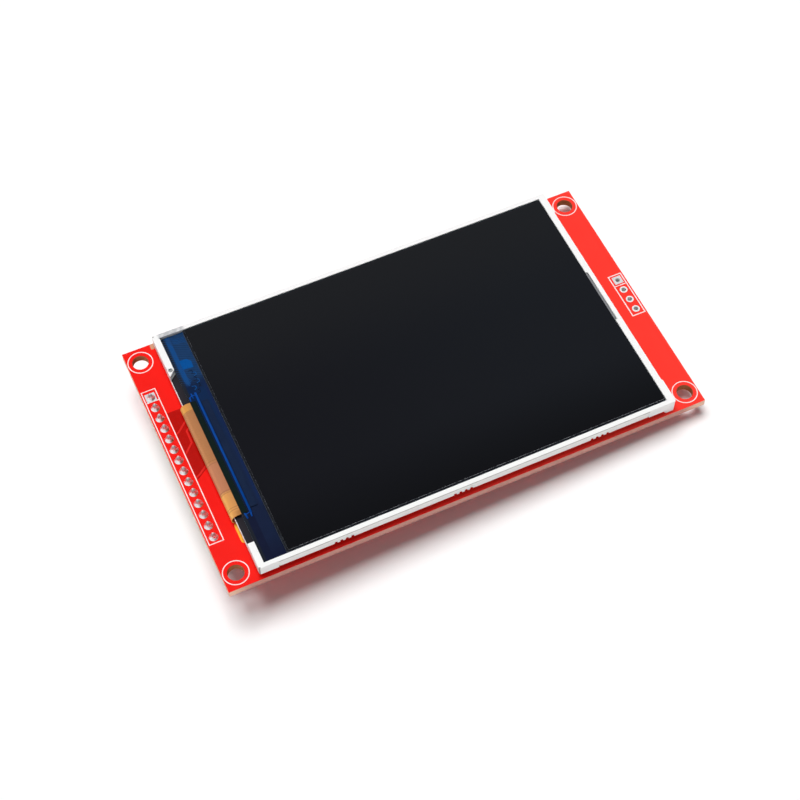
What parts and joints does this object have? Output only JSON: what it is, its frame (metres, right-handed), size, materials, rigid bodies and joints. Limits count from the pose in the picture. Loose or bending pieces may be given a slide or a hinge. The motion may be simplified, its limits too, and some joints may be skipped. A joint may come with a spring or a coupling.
{
  "type": "tft display module",
  "caption": "Colour display module: backlit glass panel taped to a red carrier board with mounting holes, a pin header, card header holes and a memory card socket under the board.",
  "frame": {"origin": "centre of the four-hole mounting pattern on the board's upper face", "axes": "+X along the board away from the pin header, +Y along the short edge towards the card socket's mouth, +Z out of the screen"},
  "size_m": [0.098, 0.0564, 0.0133],
  "materials": {
    "board_mask": "glossy red solder mask over glass-epoxy laminate",
    "header_plastic": "moulded black plastic",
    "pin_gold": "thin gold plating, tinned where soldered",
    "solder": "bright tin solder",
    "foam_tape": "black double-sided foam",
    "white_film": "white reflective polyester",
    "frame_plastic": "white moulded polycarbonate",
    "clear_acrylic": "polished clear acrylic with a dot pattern",
    "prism_film": "fine ribbed clear film",
    "polyimide": "amber polyimide over copper tracks",
    "black_tape": "black polyester tape",
    "polarizer": "glossy dark polarizing film",
    "display_glass": "polished glass with fine blue tracks on the ledge",
    "seal_resin": "cured grey resin",
    "chip_silicon": "polished silicon, dark blue sheen",
    "socket_steel": "stamped and plated steel sheet",
    "socket_plastic": "moulded black plastic",
    "contact_gold": "gold-plated spring contacts",
    "package_plastic": "moulded black epoxy",
    "led_white": "white moulded plastic with a pale yellow face",
    "resistor_ceramic": "black glazed top, tinned ends",
    "capacitor_ceramic": "tan ceramic, tinned ends"
  },
  "bodies": {
    "root": {"board": "board_mask", "header_housing": "header_plastic", "header_solder": "solder", "mounting_tape_front": "foam_tape", "mounting_tape_rear": "foam_tape", "reflector_film": "white_film", "backlight_frame": "frame_plastic", "light_guide": "clear_acrylic", "led_strip": "polyimide", "diffuser_film": "white_film", "prism_film_lower": "prism_film", "prism_film_upper": "prism_film", "shield_tape": "black_tape", "rear_polarizer": "polarizer", "array_glass": "display_glass", "filter_glass": "display_glass", "front_polarizer": "polarizer", "end_seal": "seal_resin", "driver_chip": "chip_silicon", "display_flex": "polyimide", "socket_shell": "socket_steel", "socket_base": "socket_plastic", "socket_contacts": "contact_gold", "regulator_body": "package_plastic", "regulator_leads": "solder", "transistor_body": "package_plastic", "transistor_leads": "solder", "header_pin_1": "pin_gold", "header_pin_2": "pin_gold", "header_pin_3": "pin_gold", "header_pin_4": "pin_gold", "header_pin_5": "pin_gold", "header_pin_6": "pin_gold", "header_pin_7": "pin_gold", "header_pin_8": "pin_gold", "header_pin_9": "pin_gold", "header_pin_10": "pin_gold", "header_pin_11": "pin_gold", "header_pin_12": "pin_gold", "header_pin_13": "pin_gold", "header_pin_14": "pin_gold", "led_1": "led_white", "led_2": "led_white", "led_3": "led_white", "led_4": "led_white", "led_5": "led_white", "led_6": "led_white", "resistor_1": "resistor_ceramic", "resistor_2": "resistor_ceramic", "resistor_3": "resistor_ceramic", "resistor_4": "resistor_ceramic", "resistor_5": "resistor_ceramic", "capacitor_1": "capacitor_ceramic", "capacitor_2": "capacitor_ceramic", "capacitor_3": "capacitor_ceramic"}
  },
  "joints": []
}
